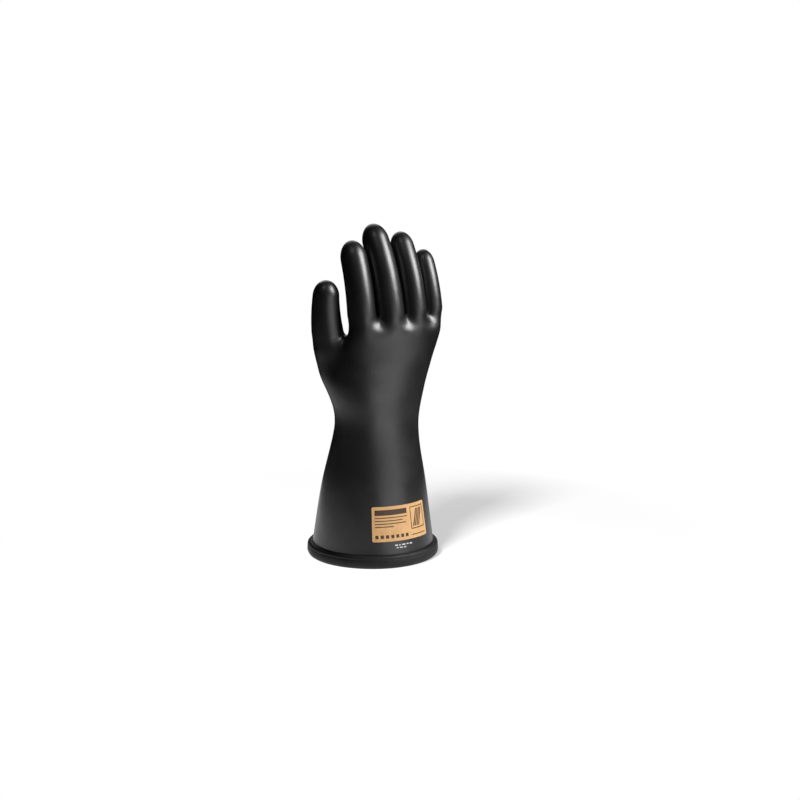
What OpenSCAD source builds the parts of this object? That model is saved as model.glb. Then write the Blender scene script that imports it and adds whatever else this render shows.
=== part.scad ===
// Electrical insulating glove for the right hand, standing on its rolled cuff.
// Millimetres. +Z points up the arm to the fingertips, -Y to the back of the hand, -X to the thumb.
// The origin is the centre of the cuff's mouth, on the plane that the bead stands on.

/* [Rubber] */
// Thickness of the dipped rubber
wall = 1.6; // [1:0.1:2.6]

/* [Cuff] */
// Outer radius of the cuff where it leaves the bead
cuff_r = 63; // [54:0.5:68]
// Thickness of the rolled bead
bead_d = 9; // [7.5:0.5:12]
// Height of the rolled bead
bead_h = 13.5; // [12.5:0.5:18]
// How far the middle of the roll lies outside the cuff's outer face
bead_out = 0.9; // [0.4:0.1:1.6]
// How much of the roll's underside is pressed flat
bead_foot = 0.4; // [0.2:0.1:0.8]
// How much of the roll's inner side is pressed flat
bead_lip = 1; // [0.5:0.1:1.5]
// Width of the groove where the roll's lap ends
lap_groove_d = 1; // [0.6:0.1:1.6]

/* [Gauntlet] */
// Width half way up the gauntlet
gauntlet_w = 111; // [102:1:118]
// Depth half way up the gauntlet
gauntlet_d = 99; // [90:1:112]
// Height of the wrist above the mouth
wrist_z = 136; // [126:1:150]
// Width at the wrist
wrist_w = 91; // [84:1:98]
// Depth at the wrist
wrist_d = 66; // [60:1:74]
// Length of the stretch that bends at the wrist
wrist_fold_len = 32; // [30:1:40]

/* [Label patch] */
// Width of the patch, measured around the cuff
label_w = 70; // [50:1:90]
// Height of the patch
label_h = 35; // [25:1:45]
// Height of the patch's lower edge above the mouth
label_z = 26.5; // [20:0.5:40]
// Thickness of the patch
label_t = 0.5; // [0.3:0.1:1]

/* [Palm] */
// Height of the knuckles above the wrist
palm_len = 96; // [88:1:104]
// Width of the heel of the hand
heel_w = 96; // [86:1:100]
// Depth of the heel of the hand
heel_d = 60; // [56:1:68]
// Width across the ball of the hand
ball_w = 103; // [94:1:106]
// Depth across the ball of the hand
ball_d = 50; // [48:1:60]
// Depth of the palm at the knuckles
knuckle_d = 34; // [32:1:42]
// Height of the rounded fork between the fingers above the knuckles
fork_rise = 11; // [9:0.5:13]
// Sideways offset of the knuckles from the cuff's axis
knuckle_x = 20; // [14:0.5:24]
// Offset of the knuckles from the cuff's axis to the back of the hand
knuckle_back = 10.5; // [6:0.5:14]

/* [Digit widths] */
// Width of the thumb at its root
thumb_w = 33; // [31:0.5:35]
// Width of the index finger at its root
index_w = 28.5; // [26.5:0.5:30.5]
// Width of the middle finger at its root
middle_w = 29; // [27:0.5:31]
// Width of the ring finger at its root
ring_w = 25.5; // [23.5:0.5:27.5]
// Width of the little finger at its root
little_w = 22; // [20:0.5:24]
// Gap between neighbouring fingers at their roots
fork_gap = 1.2; // [0.8:0.1:2.4]
// Share of a finger's width that it loses towards its tip
finger_taper = 0.06; // [0.02:0.01:0.1]
// Share of the thumb's width that it loses towards its tip
thumb_taper = 0.17; // [0.13:0.01:0.21]

/* [Digit lengths] */
// Length of the thumb past its root
thumb_len = 55; // [52:1:62]
// Length of the index finger past its root
index_len = 75.5; // [71:0.5:87]
// Length of the middle finger past its root
middle_len = 94; // [87:1:105]
// Length of the ring finger past its root
ring_len = 84; // [78:1:94]
// Length of the little finger past its root
little_len = 62; // [58:1:70]
// Length of the stretch that bends at a finger's root
root_fold_len = 15; // [14:0.5:17]
// Length of the stretch that bends at a finger's middle
mid_fold_len = 18; // [17:0.5:20]
// Length of the stretch that bends at the thumb's root
thumb_root_fold_len = 11; // [10:0.5:13]
// Length of the stretch that bends at the thumb's middle
thumb_mid_fold_len = 12; // [11:0.5:14]

/* [Hidden] */

rubber_black = [0.07, 0.07, 0.08];
fold_black = [0.11, 0.11, 0.12];
label_tan = [0.87, 0.69, 0.5];

// Clearance between the bead's rabbet and the wall that stands in it
seat_clear = 0.1;
// Clearance that parts a bending stretch from the piece beyond its joint
seam_gap = 0.2;
// How far a cutting shape runs past the face that it cuts
cut_past = 1;
// Share of its length that a filled stretch reaches into the next one, and how wide it is there
lap_share = 0.1;
plug_share = 0.9;

// The bead's section is a flattened roll, round at its foot and at its top
bead_r = cuff_r + bead_out;
bead_low_z = bead_d / 2 - bead_foot;
bead_top_z = bead_h - bead_d / 2;
mouth_r = bead_r - bead_d / 2 + bead_lip;
lap_angle = 8;
// The wall stands on the bead at the height where the roll meets the wall's inner face
seat_z = bead_top_z + sqrt(pow(bead_d / 2, 2) - pow(bead_out + wall, 2));

// Width of the finger row, and of the palm under it
row_w = index_w + middle_w + ring_w + little_w + 3 * fork_gap;
row_overhang = 1;
knuckle_w = row_w - row_overhang;

// Heights along the glove
knuckle_z = wrist_z + palm_len;
wrist_fold_z = [wrist_z - wrist_fold_len / 2, wrist_z + wrist_fold_len / 2];
heel_share = 0.3;
ball_share = 0.67;

// Height, half width and half depth of the sections that the gauntlet and palm are lofted through
sections = [
    [seat_z, cuff_r, cuff_r],
    [(seat_z + wrist_z) / 2, gauntlet_w / 2, gauntlet_d / 2],
    [wrist_z, wrist_w / 2, wrist_d / 2],
    [wrist_z + heel_share * palm_len, heel_w / 2, heel_d / 2],
    [wrist_z + ball_share * palm_len, ball_w / 2, ball_d / 2],
    [knuckle_z, knuckle_w / 2, knuckle_d / 2]
];
// How late the hand leaves the cuff's axis sideways and backwards
side_power = 4;
back_power = 1.35;

// The gauntlet's facets: some share the label's arc, the rest go round the other way
label_facets = 9;
other_facets = 35;
label_arc = label_w / cuff_r * 180 / PI;
label_turn = 3.7;
ring_angles = concat(
    [for (i = [0 : label_facets - 1]) label_turn + label_arc * (i / label_facets - 0.5)],
    [for (i = [0 : other_facets - 1]) label_turn + label_arc / 2 + (360 - label_arc) * i / other_facets]
);
label_levels = 4;
lower_levels = 2;
upper_levels = 6;
fold_levels = 4;
palm_levels = 7;
fork_angles = [30, 60, 80];

// The digits, in the order of their numbers
THUMB = 0;
INDEX = 1;
MIDDLE = 2;
RING = 3;
LITTLE = 4;
DIGITS = [THUMB, INDEX, MIDDLE, RING, LITTLE];
digit_facets = 20;
digit_w = [thumb_w, index_w, middle_w, ring_w, little_w];
digit_len = [thumb_len, index_len, middle_len, ring_len, little_len];
// Depth of a digit as a share of its width
digit_deep = [1, 1.08, 1.08, 1.08, 1.08];
// Lean of a digit's root and the further bend up to its tip, towards the palm
digit_lean = [-8, 9, 9, 9, 9];
digit_curl = [16, 23, 31, 30, 26.5];
// Sideways tilt of a digit, and the turn of the plane that it curls in
digit_splay = [0, 0.5, -1.2, -0.6, 0];
digit_turn = [-110, 0, 0, 0, 0];
// Depth of a digit's buried foot below its root, and how much it swells there
digit_foot = [74, 48, 48, 48, 48];
foot_swell = [0.2, 0, 0, 0, 0];
foot_steps = [5, 2, 2, 2, 2];
// How far the foot is gathered to the hand's middle line, and how late along its length
foot_gather = [0.45, 0.22, 0.22, 0.22, 0.4];
gather_power = [4, 1.4, 1.4, 1.4, 1.4];
// The web between thumb and index finger: its thickness, and where it meets the two feet
web_t = 14;
web_thumb = [-10, -44];
web_index = [-31, -46];
// The bending stretch at the root, and the middle of the second one as a share of the length
digit_root_fold = [thumb_root_fold_len, root_fold_len, root_fold_len, root_fold_len, root_fold_len];
digit_mid_fold = [thumb_mid_fold_len, mid_fold_len, mid_fold_len, mid_fold_len, mid_fold_len];
digit_mid_share = [0.5, 0.52, 0.5, 0.52, 0.54];
// The taper, and the closed tip's length as a share of its half width
digit_taper = [thumb_taper, finger_taper, finger_taper, finger_taper, finger_taper];
tip_long = [1.25, 1.5, 1.5, 1.5, 1.5];
cap_angles = [22, 44, 66, 80];

// The finger row, set out from the little finger's side of the palm to the thumb
row_shift = 3.6;
// How far the thumb reaches under the index finger
thumb_tuck = 2.8;
index_x = knuckle_x + row_shift - row_w / 2 + index_w / 2;
middle_x = index_x + (index_w + middle_w) / 2 + fork_gap;
ring_x = middle_x + (middle_w + ring_w) / 2 + fork_gap;
little_x = ring_x + (ring_w + little_w) / 2 + fork_gap;
thumb_x = index_x - (index_w + thumb_w) / 2 + thumb_tuck;
// Where a digit's root lies in front of the knuckle line, and above the knuckles
root_front = [23.5, 3, -2, -2, 5.5];
finger_rise = 2 * fork_rise;
root_rise = [0, finger_rise, finger_rise, finger_rise, finger_rise];
root_x = [thumb_x, index_x, middle_x, ring_x, little_x];
function root(d) = [root_x[d], root_front[d] - knuckle_back, knuckle_z + root_rise[d]];

// A list of numbers in equal steps, both ends included
function steps(from, to, count) = [for (i = [0 : count]) from + (to - from) * i / count];
function reversed(list) = [for (i = [len(list) - 1 : -1 : 0]) list[i]];

// A smooth curve of column c through the sections
function section_slope(i, c) =
    let (a = max(i - 1, 0), b = min(i + 1, len(sections) - 1))
    (sections[b][c] - sections[a][c]) / (sections[b][0] - sections[a][0]);
function section_below(z, i = 0) =
    (i == len(sections) - 2 || z <= sections[i + 1][0]) ? i : section_below(z, i + 1);
function section_at(z, c) =
    let (
        i = section_below(z),
        rise = sections[i + 1][0] - sections[i][0],
        t = (z - sections[i][0]) / rise
    )
    (1 + 2 * t) * pow(1 - t, 2) * sections[i][c]
    + t * pow(1 - t, 2) * rise * section_slope(i, c)
    + t * t * (3 - 2 * t) * sections[i + 1][c]
    + t * t * (t - 1) * rise * section_slope(i + 1, c);

// The line that the sections are centred on
function axis_at(z) =
    let (t = max(z - seat_z, 0) / (knuckle_z - seat_z))
    [knuckle_x * pow(t, side_power), -knuckle_back * pow(t, back_power), z];

function oval(centre, half_w, half_d) =
    [for (a = ring_angles) centre + [half_w * sin(a), -half_d * cos(a), 0]];
function trunk_ring(z, inset) = oval(axis_at(z), section_at(z, 1) - inset, section_at(z, 2) - inset);
function trunk_rings(levels, inset) = [for (z = levels) trunk_ring(z, inset)];

// The rounded top of the palm
function fork_ring(angle, inset) =
    let (r = fork_rise - inset)
    oval(
        axis_at(knuckle_z) + [0, 0, r * sin(angle)],
        knuckle_w / 2 - inset - r * (1 - cos(angle)),
        (knuckle_d / 2 - inset) * cos(angle)
    );

// A digit's middle line is an arc in its own plane, with s counted from its root
function bend(d, s) = digit_lean[d] + digit_curl[d] * s / digit_len[d];
function middle_line(d, s) =
    let (r = digit_len[d] / digit_curl[d] * 180 / PI)
    [0, r * (cos(digit_lean[d]) - cos(bend(d, s))), r * (sin(bend(d, s)) - sin(digit_lean[d]))];
function placed(d, p) =
    let (
        tilted = [p.x * cos(digit_splay[d]) + p.z * sin(digit_splay[d]), p.y,
            p.z * cos(digit_splay[d]) - p.x * sin(digit_splay[d])],
        c = cos(digit_turn[d]),
        n = sin(digit_turn[d])
    )
    root(d) + [c * tilted.x - n * tilted.y, n * tilted.x + c * tilted.y, tilted.z];

// How far the foot of a digit moves over to the hand's middle line
function gathered(d, s) =
    let (p = placed(d, middle_line(d, s)))
    s >= 0 ? [0, 0, 0] : foot_gather[d] * pow(-s / digit_foot[d], gather_power[d]) * (axis_at(p.z) - p);

// Sizes along a digit
function cap_r(d) = digit_w[d] / 2 * (1 - digit_taper[d]);
function cap_len(d) = cap_r(d) * tip_long[d];
function cap_start(d) = digit_len[d] - cap_len(d);
function girth(d, s) = digit_w[d] / 2
    * (s < 0 ? 1 - foot_swell[d] * s / digit_foot[d] : 1 - digit_taper[d] * s / cap_start(d));
function mid_start(d) = digit_mid_share[d] * digit_len[d] - digit_mid_fold[d] / 2;
function mid_end(d) = mid_start(d) + digit_mid_fold[d];

function digit_oval(d, s, half_w, half_d) = [for (i = [0 : digit_facets - 1])
    let (
        a = 360 * i / digit_facets,
        across = half_d * sin(a),
        offset = [half_w * cos(a), across * cos(bend(d, s)), -across * sin(bend(d, s))]
    )
    gathered(d, s) + placed(d, middle_line(d, s) + offset)];
function digit_ring(d, s, inset) =
    digit_oval(d, s, girth(d, s) - inset, girth(d, s) * digit_deep[d] - inset);
function digit_rings(d, levels, inset) = [for (s = levels) digit_ring(d, s, inset)];
function cap_rings(d, inset) = [for (a = cap_angles)
    digit_oval(d, cap_start(d) + (cap_len(d) - inset) * sin(a),
        (cap_r(d) - inset) * cos(a), (cap_r(d) * digit_deep[d] - inset) * cos(a))];
function cap_apex(d, inset) = placed(d, middle_line(d, digit_len[d] - inset));

// Two triangles for each facet between ring j and the ring after it
function band(j, next, count) = [for (i = [0 : count - 1])
    let (
        k = (i + 1) % count,
        a = j * count + i,
        b = j * count + k,
        c = next * count + k,
        d = next * count + i
    )
    each [[a, c, b], [a, d, c]]];

// A wall between outer and inner rings, open at both ends
module sleeve(outer, inner) {
    rings = concat(outer, reversed(inner));
    count = len(rings[0]);
    polyhedron(
        points = [for (ring = rings) each ring],
        faces = [for (j = [0 : len(rings) - 1]) each band(j, (j + 1) % len(rings), count)]
    );
}

// A wall between outer and inner rings that is closed at its far end, over the two apex points
module thimble(outer, outer_apex, inner, inner_apex) {
    rings = concat(reversed(outer), inner);
    count = len(rings[0]);
    last = len(rings) - 1;
    apex = len(rings) * count;
    polyhedron(
        points = concat([for (ring = rings) each ring], [outer_apex, inner_apex]),
        faces = concat(
            [for (j = [0 : last - 1]) each [for (face = band(j, j + 1, count)) reversed(face)]],
            [for (i = [0 : count - 1]) [i, apex, (i + 1) % count]],
            [for (i = [0 : count - 1]) [last * count + (i + 1) % count, apex + 1, last * count + i]]
        )
    );
}

// A solid between two rings
module link(a, b) {
    count = len(a);
    polyhedron(
        points = concat(a, b),
        faces = concat(band(0, 1, count), [
            [for (i = [0 : count - 1]) i],
            [for (i = [count - 1 : -1 : 0]) count + i]
        ])
    );
}

// A smaller ring a little further on, which lies inside the next stretch
function plug(ring, next) =
    let (ahead = ring + lap_share * (next - ring), middle = [for (p = ahead) 1] * ahead / len(ahead))
    [for (p = ahead) middle + plug_share * (p - middle)];

// A filled stretch between neighbouring rings, all along a list of rings.
// Each stretch reaches a little into the next one, so that the two join without a gap.
module filled(rings) {
    last = len(rings) - 2;
    for (j = [0 : last]) hull() {
        link(rings[j], rings[j + 1]);
        if (j < last) link(rings[j + 1], plug(rings[j + 1], rings[j + 2]));
    }
}

module trunk_sleeve(levels) sleeve(trunk_rings(levels, 0), trunk_rings(levels, wall));
module digit_sleeve(d, levels) sleeve(digit_rings(d, levels, 0), digit_rings(d, levels, wall));

// The roll at the mouth, pressed flat where it stands and where the arm goes in
module cuff_bead() color(rubber_black)
    rotate_extrude($fn = 96) difference() {
        union() {
            translate([bead_r, bead_low_z]) circle(d = bead_d);
            translate([bead_r, bead_top_z]) circle(d = bead_d);
            translate([bead_r - bead_d / 2, bead_low_z]) square([bead_d, bead_top_z - bead_low_z]);
        }
        translate([0, -bead_d]) square([2 * bead_r, bead_d]);
        translate([0, -bead_d]) square([mouth_r, bead_h + 2 * bead_d]);
        translate([0, seat_z]) square([cuff_r + seat_clear, bead_d]);
        translate([bead_r + bead_d / 2 * cos(lap_angle), bead_top_z + bead_d / 2 * sin(lap_angle)])
            circle(d = lap_groove_d, $fn = 24);
    }

label_top_z = label_z + label_h;
gauntlet_heights = concat(
    steps(seat_z, label_z, lower_levels),
    [for (i = [1 : label_levels]) label_z + label_h * i / label_levels],
    [for (i = [1 : upper_levels]) label_top_z + (wrist_fold_z[0] - label_top_z) * i / upper_levels]
);

// The flared sleeve over the forearm
module gauntlet() color(rubber_black) trunk_sleeve(gauntlet_heights);

// The patch bonded to the gauntlet on the back of the arm, face to face with its facets
module label_patch() color(label_tan) {
    heights = steps(label_z, label_z + label_h, label_levels);
    row = label_facets + 1;
    sheet = row * len(heights);
    points = [for (inset = [0, -label_t], z = heights, i = [0 : label_facets]) trunk_ring(z, inset)[i]];
    inner = [for (j = [0 : label_levels - 1]) for (i = [0 : label_facets - 1])
        let (a = j * row + i, b = a + 1, c = b + row, d = a + row) each [[a, b, c], [a, c, d]]];
    edge = concat(
        [for (i = [0 : label_facets - 1]) i],
        [for (j = [0 : label_levels - 1]) j * row + label_facets],
        [for (i = [label_facets : -1 : 1]) label_levels * row + i],
        [for (j = [label_levels : -1 : 1]) j * row]
    );
    rim = [for (i = [0 : len(edge) - 1])
        let (a = edge[i], b = edge[(i + 1) % len(edge)])
        each [[b, a, a + sheet], [b, a + sheet, b + sheet]]];
    outer = [for (face = inner) [for (v = reversed(face)) v + sheet]];
    polyhedron(points = points, faces = concat(inner, outer, rim));
}

// The stretch that bends at the wrist
module wrist_fold() color(fold_black)
    trunk_sleeve(steps(wrist_fold_z[0], wrist_fold_z[1] - seam_gap, fold_levels));

// One side of the web, along a digit's foot
module web_side(d, ends, r) link(digit_oval(d, ends[0], r, r), digit_oval(d, ends[1], r, r));

// The hand's outer form at inset 0, or its hollow at the wall's inset, which runs past the cut ends
module hand_form(inset, past) {
    start = wrist_fold_z[1];
    filled(concat(
        past > 0 ? [[for (p = trunk_ring(start, inset)) p - [0, 0, past]]] : [],
        trunk_rings(steps(start, knuckle_z, palm_levels), inset),
        [for (angle = fork_angles) fork_ring(angle, inset)]
    ));
    for (d = DIGITS) filled(digit_rings(d, steps(-digit_foot[d], past, foot_steps[d]), inset));
    web_r = web_t / 2 - inset;
    hull() {
        web_side(THUMB, web_thumb, web_r);
        web_side(INDEX, web_index, web_r);
    }
}

// The palm and back of the hand, with the five openings that the digits grow from
module palm() color(rubber_black) difference() {
    hand_form(0, 0);
    hand_form(wall, cut_past);
}

module root_fold(d) color(fold_black) digit_sleeve(d, steps(0, digit_root_fold[d] - seam_gap, 2));
module stall(d) color(rubber_black) digit_sleeve(d, steps(digit_root_fold[d], mid_start(d), 2));
module mid_fold(d) color(fold_black) digit_sleeve(d, steps(mid_start(d), mid_end(d) - seam_gap, 2));
module tip(d) color(rubber_black) {
    levels = steps(mid_end(d), cap_start(d), 2);
    thimble(
        concat(digit_rings(d, levels, 0), cap_rings(d, 0)), cap_apex(d, 0),
        concat(digit_rings(d, levels, wall), cap_rings(d, wall)), cap_apex(d, wall)
    );
}

cuff_bead();
gauntlet();
label_patch();
wrist_fold();
palm();
root_fold(THUMB);  // thumb_root_fold
stall(THUMB);  // thumb_stall
mid_fold(THUMB);  // thumb_mid_fold
tip(THUMB);  // thumb_tip
root_fold(INDEX);  // index_root_fold
stall(INDEX);  // index_stall
mid_fold(INDEX);  // index_mid_fold
tip(INDEX);  // index_tip
root_fold(MIDDLE);  // middle_root_fold
stall(MIDDLE);  // middle_stall
mid_fold(MIDDLE);  // middle_mid_fold
tip(MIDDLE);  // middle_tip
root_fold(RING);  // ring_root_fold
stall(RING);  // ring_stall
mid_fold(RING);  // ring_mid_fold
tip(RING);  // ring_tip
root_fold(LITTLE);  // little_root_fold
stall(LITTLE);  // little_stall
mid_fold(LITTLE);  // little_mid_fold
tip(LITTLE);  // little_tip
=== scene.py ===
import math

import bmesh
import bpy
import numpy as np
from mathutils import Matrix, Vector


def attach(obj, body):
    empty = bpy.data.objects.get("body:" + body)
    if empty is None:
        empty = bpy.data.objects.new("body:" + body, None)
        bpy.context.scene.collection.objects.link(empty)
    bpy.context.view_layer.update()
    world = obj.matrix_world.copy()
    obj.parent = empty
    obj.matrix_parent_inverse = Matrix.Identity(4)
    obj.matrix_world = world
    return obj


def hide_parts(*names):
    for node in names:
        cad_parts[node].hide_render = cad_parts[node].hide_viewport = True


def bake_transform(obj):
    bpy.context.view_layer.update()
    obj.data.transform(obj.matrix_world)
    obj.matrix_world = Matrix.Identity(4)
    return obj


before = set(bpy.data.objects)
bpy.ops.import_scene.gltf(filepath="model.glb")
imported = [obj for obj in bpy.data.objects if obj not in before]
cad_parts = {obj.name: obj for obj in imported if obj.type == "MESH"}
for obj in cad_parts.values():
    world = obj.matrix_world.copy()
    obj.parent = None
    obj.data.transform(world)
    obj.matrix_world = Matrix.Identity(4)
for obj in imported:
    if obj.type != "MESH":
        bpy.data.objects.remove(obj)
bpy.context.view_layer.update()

# Sizes of the glove in millimetres, the same as those of its solids
MM = 0.001
WALL = 1.6
CUFF_R = 63.0
BEAD_D = 9.0
BEAD_H = 13.5
BEAD_OUT = 0.9
BEAD_FOOT = 0.4
BEAD_LIP = 1.0
BEAD_R = CUFF_R + BEAD_OUT
BEAD_LOW_Z = BEAD_D / 2 - BEAD_FOOT
BEAD_TOP_Z = BEAD_H - BEAD_D / 2
MOUTH_R = BEAD_R - BEAD_D / 2 + BEAD_LIP
SEAT_Z = BEAD_TOP_Z + math.sqrt((BEAD_D / 2) ** 2 - (BEAD_R - CUFF_R + WALL) ** 2)
WRIST_Z = 136.0
PALM_LEN = 96.0
KNUCKLE_Z = WRIST_Z + PALM_LEN
KNUCKLE_X = 20.0
KNUCKLE_BACK = 10.5
KNUCKLE_D = 34.0
FORK_RISE = 11.0
FORK_GAP = 1.2
ROW_SHIFT = 3.6
ROW_OVERHANG = 1.0
THUMB_TUCK = 2.8
SIDE_POWER = 4.0
BACK_POWER = 1.35
# How much the back of the hand is filled up below the knuckles, and how late along the hand
KNUCKLE_FILL = 3.0
FILL_POWER = 6.0

# The label patch and the ink stamp under it
LABEL_W = 70.0
LABEL_H = 35.0
LABEL_Z = 26.5
LABEL_T = 0.5
LABEL_TURN = math.radians(3.7)
LABEL_CORNER = 1.6
LABEL_LIFT = 0.02
PRINT_T = 0.04
PRINT_MARGIN = 3.2
TITLE_W = 38.0
TITLE_H = 5.4
RULE_H = 0.9
RULE_STEP = 3.0
RULE_SHARES = (1.0, 0.84, 0.95, 0.55)
SQUARES = 7
SQUARE = 3.4
SQUARE_GAP = 2.3
FIELD_W = 21.0
FIELD_H = 22.5
FIELD_LINE = 0.9
HATCHES = 4
HATCH_W = 1.7
HATCH_INSET = 2.6
HATCH_SLANT = 0.35
STAMP_T = 0.06
STAMP_ROWS = ((21.6, -11.0, (3.2, 1.6, 4.2, 2.4, 3.4)), (19.0, -9.5, (2.0, 3.6, 2.6)))
DASH_H = 1.2
DASH_GAP = 1.5

# The digits. Lean, curl, splay and turn are in degrees, tip_long and deep are shares of the half
# width, and mid is a share of the length. The foot is the stretch inside the hand, which swells and
# gathers towards the hand's middle line. The skin starts and parts at these lengths from the root.
DIGITS = {
    "thumb": dict(w=33.0, length=55.0, taper=0.17, tip_long=1.25, deep=1.0, lean=-8, curl=16,
                  splay=0, turn=-110, foot=74.0, swell=0.2, gather=0.45, power=4.0, front=23.5,
                  rise=0.0, mid=0.5, mid_bend=15.0, start=6.0, part=20.0),
    "index": dict(w=28.5, length=75.5, curl=23, splay=0.5, front=3.0, mid=0.52),
    "middle": dict(w=29.0, length=94.0, curl=31, splay=-1.2, front=-2.0, mid=0.5),
    "ring": dict(w=25.5, length=84.0, curl=30, splay=-0.6, front=-2.0, mid=0.52),
    "little": dict(w=22.0, length=62.0, curl=26.5, splay=0, front=5.5, mid=0.54, gather=0.4),
}
FINGERS = ("index", "middle", "ring", "little")
FINGER_DEFAULTS = dict(taper=0.06, tip_long=1.5, deep=1.08, lean=9, turn=0, foot=48.0, swell=0.0,
                       gather=0.22, power=1.4, rise=2 * FORK_RISE, mid_bend=22.0, start=0.0,
                       part=20.0)
for name in FINGERS:
    DIGITS[name] = {**FINGER_DEFAULTS, **DIGITS[name]}

ROW_W = sum(DIGITS[name]["w"] for name in FINGERS) + 3 * FORK_GAP
KNUCKLE_W = ROW_W - ROW_OVERHANG
left_edge = KNUCKLE_X + ROW_SHIFT - ROW_W / 2
DIGITS["thumb"]["x"] = left_edge + THUMB_TUCK - DIGITS["thumb"]["w"] / 2
for name in FINGERS:
    DIGITS[name]["x"] = left_edge + DIGITS[name]["w"] / 2
    left_edge += DIGITS[name]["w"] + FORK_GAP

# Height, half width and half depth of the sections of gauntlet and palm, by column
WIDE, DEEP = 1, 2
SECTIONS = np.array([
    [SEAT_Z, CUFF_R, CUFF_R],
    [(SEAT_Z + WRIST_Z) / 2, 55.5, 49.5],
    [WRIST_Z, 45.5, 33.0],
    [WRIST_Z + 0.3 * PALM_LEN, 48.0, 30.0],
    [WRIST_Z + 0.67 * PALM_LEN, 51.5, 25.0],
    [KNUCKLE_Z, KNUCKLE_W / 2, (KNUCKLE_D + KNUCKLE_FILL) / 2],
])

# Slopes of half width and half depth where the sections meet the palm's rounded top
TOP_SLOPES = {WIDE: 0.0, DEEP: -0.1}

# The two ways that a stretch along a digit goes from its middle
BOTH_WAYS = np.array([-0.5, 0.5])

# Least values that keep divisions and blends steady
LEAST_LENGTH = 1e-9
LEAST_REACH = 0.2
LEAST_SLOPE = 0.004
LEAST_SQUARE = 0.05
LEAST_BLEND = 0.01
GRADIENT_STEP = 0.05

# How widely two forms flow into each other, and between which heights that changes
LOWEST_DIGIT_Z = 110.0
BLEND_FORK = 16.0
BLEND_FINGERS = (18.0, 1.2)
FINGER_BLEND_Z = (236.0, 254.0)
BLEND_THUMB = (13.0, LEAST_BLEND)
THUMB_BLEND_Z = (216.0, 239.0)
BLEND_HEEL = 13.0
HEEL_RISE_Z = (120.0, 175.0)
HEEL_FALL_Z = (182.0, 210.0)
BLEND_WEB = 10.0

# The thumb's web: its half thickness, and its ends along the thumb and the index finger
WEB_R = 7.0
WEB_THUMB = (-10.0, -44.0)
WEB_INDEX = (-31.0, -46.0)

# The skin's two faces, as insets from the outside
INSETS = (0.0, WALL)

# The grid that the skin of gauntlet and palm is meshed on
CELL = 1.5
GRID_MARGIN = 4 * CELL
GRID_BELOW = 3 * CELL
GRID_ABOVE = 6.0
GRID_RIGHT_X = 80.0
RELAX_PASSES = 4
SETTLE_PASSES = 2

# How close a point lies to a digit that it belongs to, and how far round a cut the faces are split
NEAR = 1.2
CUT_REACH = 4 * CELL

# Fairing of the palm, up to the digits' own skins
FAIR_Z = (120.0, 160.0)
FAIR_NEAR = 4 * NEAR
FAIR_EDGE = 2.0
FAIR_LEN = 8.0
FAIR_STEPS = (0.5, -0.52)
FAIR_PASSES = 60

# Softening of the wrist, with the swell that makes up for its shrinkage, and of the forks
SOFT_RISE_Z = (104.0, 132.0)
SOFT_FALL_Z = (165.0, 196.0)
SOFT_STEP = 0.5
SOFT_PASSES = 180
SOFT_SWELL = 0.9
FORK_SOFT_Z = (214.0, 232.0)
FORK_PASSES = 40

# Rings of the digits' skins
DIGIT_STEPS = 80
RING_STEP = 1.6
CAP_STEPS = 18


# Shape of gauntlet and palm

def section_slopes(column):
    """Slopes of the sections' curve, with the slopes named for the palm's rounded top."""
    values, heights = SECTIONS[:, column], SECTIONS[:, 0]
    low = np.maximum(np.arange(len(values)) - 1, 0)
    high = np.minimum(np.arange(len(values)) + 1, len(values) - 1)
    slopes = (values[high] - values[low]) / (heights[high] - heights[low])
    slopes[-1] = TOP_SLOPES[column]
    return slopes


def section_at(z, column):
    """Half width or half depth at heights z, on a smooth curve through the sections."""
    heights, values, slopes = SECTIONS[:, 0], SECTIONS[:, column], section_slopes(column)
    i = np.clip(np.searchsorted(heights, z) - 1, 0, len(heights) - 2)
    rise = heights[i + 1] - heights[i]
    t = (z - heights[i]) / rise
    return ((1 + 2 * t) * (1 - t) ** 2 * values[i] + t * (1 - t) ** 2 * rise * slopes[i]
            + t * t * (3 - 2 * t) * values[i + 1] + t * t * (t - 1) * rise * slopes[i + 1])


def axis_at(z):
    """The hand's middle line at heights z, as x and y."""
    t = np.clip((z - SEAT_Z) / (KNUCKLE_Z - SEAT_Z), 0, 1)
    back = KNUCKLE_BACK * t ** BACK_POWER + KNUCKLE_FILL / 2 * t ** FILL_POWER
    return KNUCKLE_X * t ** SIDE_POWER, -back


def oval_distance(parts):
    """Rough distance to an oval from its offsets and half sizes."""
    k = np.sqrt(sum((offset / half) ** 2 for offset, half in parts))
    g = np.sqrt(sum((offset / half ** 2) ** 2 for offset, half in parts))
    return (k - 1) * np.maximum(k, LEAST_REACH) / np.maximum(g, LEAST_SLOPE)


def trunk_distance(p):
    """Rough distance to gauntlet and palm, without digits."""
    z = np.minimum(p[:, 2], KNUCKLE_Z)
    x, y = axis_at(z)
    above = np.maximum(p[:, 2] - KNUCKLE_Z, 0)
    across = (p[:, 0] - x, section_at(z, WIDE))
    deep = (p[:, 1] - y, section_at(z, DEEP))
    return oval_distance([across, deep, (above, FORK_RISE)])


# Shape of the digits

def digit_root(d):
    return np.array([d["x"], d["front"] - KNUCKLE_BACK, KNUCKLE_Z + d["rise"]])


def digit_turn(d):
    """The digit's splay and turn, as a matrix."""
    a, t = math.radians(d["splay"]), math.radians(d["turn"])
    splay = np.array([
        [math.cos(a), 0, math.sin(a)],
        [0, 1, 0],
        [-math.sin(a), 0, math.cos(a)],
    ])
    turn = np.array([
        [math.cos(t), -math.sin(t), 0],
        [math.sin(t), math.cos(t), 0],
        [0, 0, 1],
    ])
    return turn @ splay


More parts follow.
